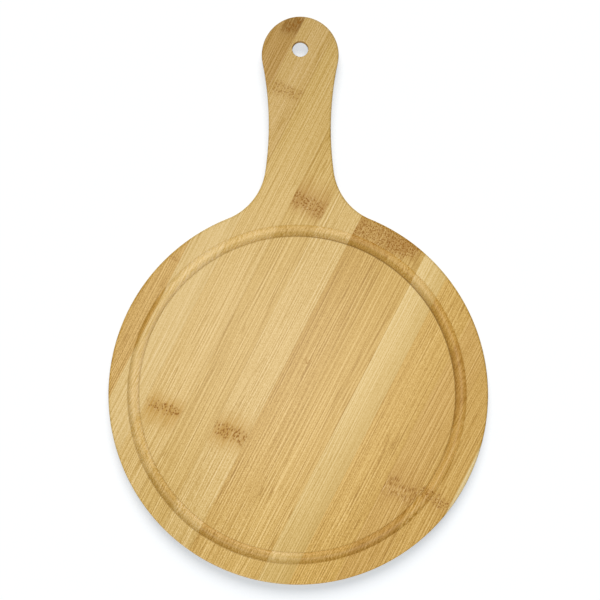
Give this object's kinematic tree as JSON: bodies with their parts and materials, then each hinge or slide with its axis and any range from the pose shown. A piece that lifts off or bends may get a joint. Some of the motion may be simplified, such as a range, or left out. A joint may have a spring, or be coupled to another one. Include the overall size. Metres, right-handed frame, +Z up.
{
  "type": "serving board",
  "caption": "Round laminated bamboo serving board with a paddle handle, a juice groove around the serving face and a hanging hole in the handle's head.",
  "frame": {"origin": "centre of the round body on the underside, where the board rests on a table", "axes": "+Y along the handle, from the body towards the hanging hole; +Z up, out of the serving face; +X to the right seen from above with the handle away"},
  "size_m": [0.254, 0.38, 0.01],
  "materials": {
    "pale_bamboo": "oiled satin",
    "golden_bamboo": "oiled satin",
    "tan_bamboo": "oiled satin"
  },
  "bodies": {
    "root": {"face_strip_01": "golden_bamboo", "face_strip_01_handle": "golden_bamboo", "face_strip_02": "pale_bamboo", "face_strip_02_handle": "pale_bamboo", "face_strip_03": "pale_bamboo", "face_strip_04": "pale_bamboo", "face_strip_05": "pale_bamboo", "face_strip_06": "golden_bamboo", "face_strip_07": "golden_bamboo", "face_strip_08": "pale_bamboo", "face_strip_09": "golden_bamboo", "face_strip_10": "tan_bamboo", "face_strip_11": "tan_bamboo", "face_strip_12": "pale_bamboo", "back_strip_01": "golden_bamboo", "back_strip_01_handle": "golden_bamboo", "back_strip_02": "pale_bamboo", "back_strip_02_handle": "pale_bamboo", "back_strip_03": "golden_bamboo", "back_strip_04": "pale_bamboo", "back_strip_05": "golden_bamboo", "back_strip_06": "tan_bamboo", "back_strip_07": "pale_bamboo", "back_strip_08": "golden_bamboo", "back_strip_09": "pale_bamboo", "back_strip_10": "golden_bamboo", "back_strip_11": "tan_bamboo", "back_strip_12": "golden_bamboo"}
  },
  "joints": []
}
